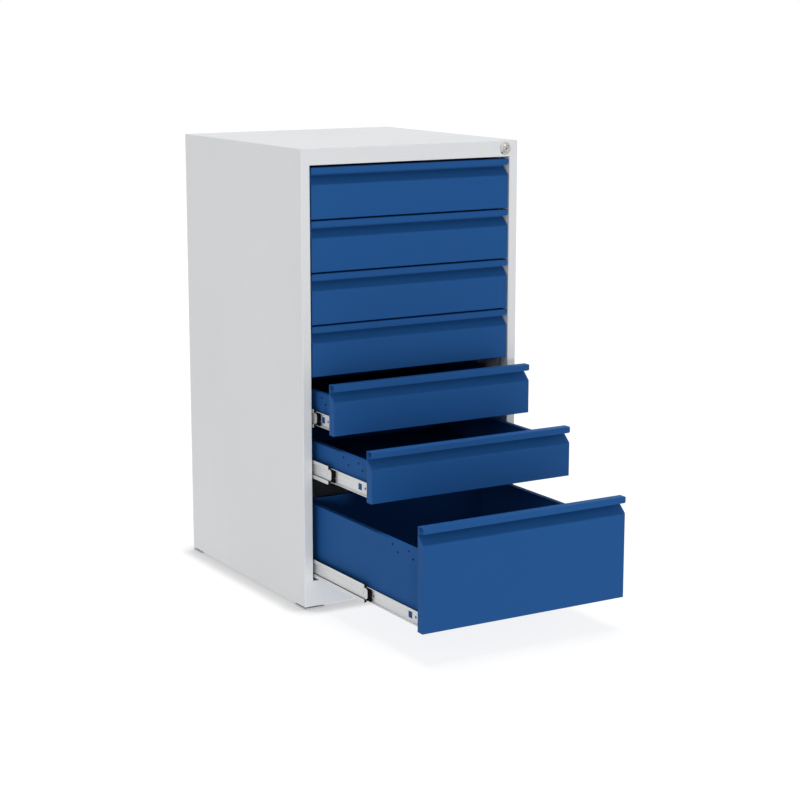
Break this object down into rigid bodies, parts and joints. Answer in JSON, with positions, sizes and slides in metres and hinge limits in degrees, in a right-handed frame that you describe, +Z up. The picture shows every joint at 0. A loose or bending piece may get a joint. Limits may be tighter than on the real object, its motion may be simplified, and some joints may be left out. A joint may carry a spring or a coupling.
{
  "type": "multi-drawer cabinet",
  "caption": "Floor-standing sheet-steel cabinet with lockable drawers on full-extension slides, the lowest one deep, each front folded into a full-width grip.",
  "frame": {"origin": "on the floor under the middle of the casing's footprint", "axes": "+Z up, drawers open towards -Y, +X to the right of a person who faces the drawers"},
  "size_m": [0.49, 0.922, 0.9],
  "materials": {
    "casing_paint": "light grey powder coat",
    "front_paint": "blue powder coat",
    "tray_paint": "blue powder coat",
    "slide_zinc": "bright zinc plate",
    "bumper_plastic": "matt black",
    "lock_chrome": "nickel plate",
    "foot_plastic": "light grey matt"
  },
  "bodies": {
    "casing": {"left_side_panel": "casing_paint", "right_side_panel": "casing_paint", "back_panel": "casing_paint", "top_panel": "casing_paint", "floor_panel": "casing_paint", "front_base_rail": "casing_paint", "uprights": "casing_paint", "slide_outer_rails": "slide_zinc", "levelling_feet": "foot_plastic", "foot_nuts": "slide_zinc", "lock_housing": "lock_chrome", "lock_ring_nut": "slide_zinc", "lock_bar_guides": "bumper_plastic"},
    "lock_plug": {"lock_plug": "lock_chrome", "lock_cam": "slide_zinc"},
    "lock_bar": {"lock_bar": "slide_zinc", "lock_lift_arm": "slide_zinc", "lock_tabs": "slide_zinc"},
    "drawer_1": {"drawer_1_front": "front_paint", "drawer_1_tray": "tray_paint", "drawer_1_catch": "slide_zinc", "drawer_1_slide_inner": "slide_zinc"},
    "drawer_1_runner": {"drawer_1_slide_middle": "slide_zinc", "drawer_1_slide_bumper": "bumper_plastic"},
    "drawer_2": {"drawer_2_front": "front_paint", "drawer_2_tray": "tray_paint", "drawer_2_catch": "slide_zinc", "drawer_2_slide_inner": "slide_zinc"},
    "drawer_2_runner": {"drawer_2_slide_middle": "slide_zinc", "drawer_2_slide_bumper": "bumper_plastic"},
    "drawer_3": {"drawer_3_front": "front_paint", "drawer_3_tray": "tray_paint", "drawer_3_catch": "slide_zinc", "drawer_3_slide_inner": "slide_zinc"},
    "drawer_3_runner": {"drawer_3_slide_middle": "slide_zinc", "drawer_3_slide_bumper": "bumper_plastic"},
    "drawer_4": {"drawer_4_front": "front_paint", "drawer_4_tray": "tray_paint", "drawer_4_catch": "slide_zinc", "drawer_4_slide_inner": "slide_zinc"},
    "drawer_4_runner": {"drawer_4_slide_middle": "slide_zinc", "drawer_4_slide_bumper": "bumper_plastic"},
    "drawer_5": {"drawer_5_front": "front_paint", "drawer_5_tray": "tray_paint", "drawer_5_catch": "slide_zinc", "drawer_5_slide_inner": "slide_zinc"},
    "drawer_5_runner": {"drawer_5_slide_middle": "slide_zinc", "drawer_5_slide_bumper": "bumper_plastic"},
    "drawer_6": {"drawer_6_front": "front_paint", "drawer_6_tray": "tray_paint", "drawer_6_catch": "slide_zinc", "drawer_6_slide_inner": "slide_zinc"},
    "drawer_6_runner": {"drawer_6_slide_middle": "slide_zinc", "drawer_6_slide_bumper": "bumper_plastic"},
    "drawer_7": {"drawer_7_front": "front_paint", "drawer_7_tray": "tray_paint", "drawer_7_catch": "slide_zinc", "drawer_7_slide_inner": "slide_zinc"},
    "drawer_7_runner": {"drawer_7_slide_middle": "slide_zinc", "drawer_7_slide_bumper": "bumper_plastic"}
  },
  "joints": [
    {"name": "drawer_1_pull", "type": "slide", "parent": "casing", "child": "drawer_1", "axis": [0, -1, 0], "range_m": [0, 0.45]},
    {"name": "drawer_1_run", "type": "slide", "parent": "casing", "child": "drawer_1_runner", "axis": [0, -1, 0], "range_m": [0, 0.225]},
    {"name": "drawer_2_pull", "type": "slide", "parent": "casing", "child": "drawer_2", "axis": [0, -1, 0], "range_m": [0, 0.45]},
    {"name": "drawer_2_run", "type": "slide", "parent": "casing", "child": "drawer_2_runner", "axis": [0, -1, 0], "range_m": [0, 0.225]},
    {"name": "drawer_3_pull", "type": "slide", "parent": "casing", "child": "drawer_3", "axis": [0, -1, 0], "range_m": [0, 0.45]},
    {"name": "drawer_3_run", "type": "slide", "parent": "casing", "child": "drawer_3_runner", "axis": [0, -1, 0], "range_m": [0, 0.225]},
    {"name": "drawer_4_pull", "type": "slide", "parent": "casing", "child": "drawer_4", "axis": [0, -1, 0], "range_m": [0, 0.45]},
    {"name": "drawer_4_run", "type": "slide", "parent": "casing", "child": "drawer_4_runner", "axis": [0, -1, 0], "range_m": [0, 0.225]},
    {"name": "drawer_5_pull", "type": "slide", "parent": "casing", "child": "drawer_5", "axis": [0, -1, 0], "range_m": [-0.083, 0.367]},
    {"name": "drawer_5_run", "type": "slide", "parent": "casing", "child": "drawer_5_runner", "axis": [0, -1, 0], "range_m": [-0.0409, 0.1806]},
    {"name": "drawer_6_pull", "type": "slide", "parent": "casing", "child": "drawer_6", "axis": [0, -1, 0], "range_m": [-0.225, 0.225]},
    {"name": "drawer_6_run", "type": "slide", "parent": "casing", "child": "drawer_6_runner", "axis": [0, -1, 0], "range_m": [-0.0975, 0.0975]},
    {"name": "drawer_7_pull", "type": "slide", "parent": "casing", "child": "drawer_7", "axis": [0, -1, 0], "range_m": [-0.407, 0.043]},
    {"name": "drawer_7_run", "type": "slide", "parent": "casing", "child": "drawer_7_runner", "axis": [0, -1, 0], "range_m": [-0.2349, 0.0249]},
    {"name": "lock_bar_lift", "type": "slide", "parent": "casing", "child": "lock_bar", "axis": [0, 0, 1], "range_m": [0, 0.008]},
    {"name": "key_turn", "type": "hinge", "parent": "casing", "child": "lock_plug", "pos_m": [0.215, -0.2575, 0.884], "axis": [0, -1, 0], "range_deg": [0, 90]}
  ],
  "couplings": [
    {"joint": "drawer_1_run", "follows": "drawer_1_pull", "ratio": 0.5},
    {"joint": "drawer_2_run", "follows": "drawer_2_pull", "ratio": 0.5},
    {"joint": "drawer_3_run", "follows": "drawer_3_pull", "ratio": 0.5},
    {"joint": "drawer_4_run", "follows": "drawer_4_pull", "ratio": 0.5},
    {"joint": "drawer_5_run", "follows": "drawer_5_pull", "ratio": 0.492},
    {"joint": "drawer_6_run", "follows": "drawer_6_pull", "ratio": 0.433},
    {"joint": "drawer_7_run", "follows": "drawer_7_pull", "ratio": 0.577},
    {"joint": "key_turn", "follows": "lock_bar_lift", "rad_per_m": 196.3}
  ]
}
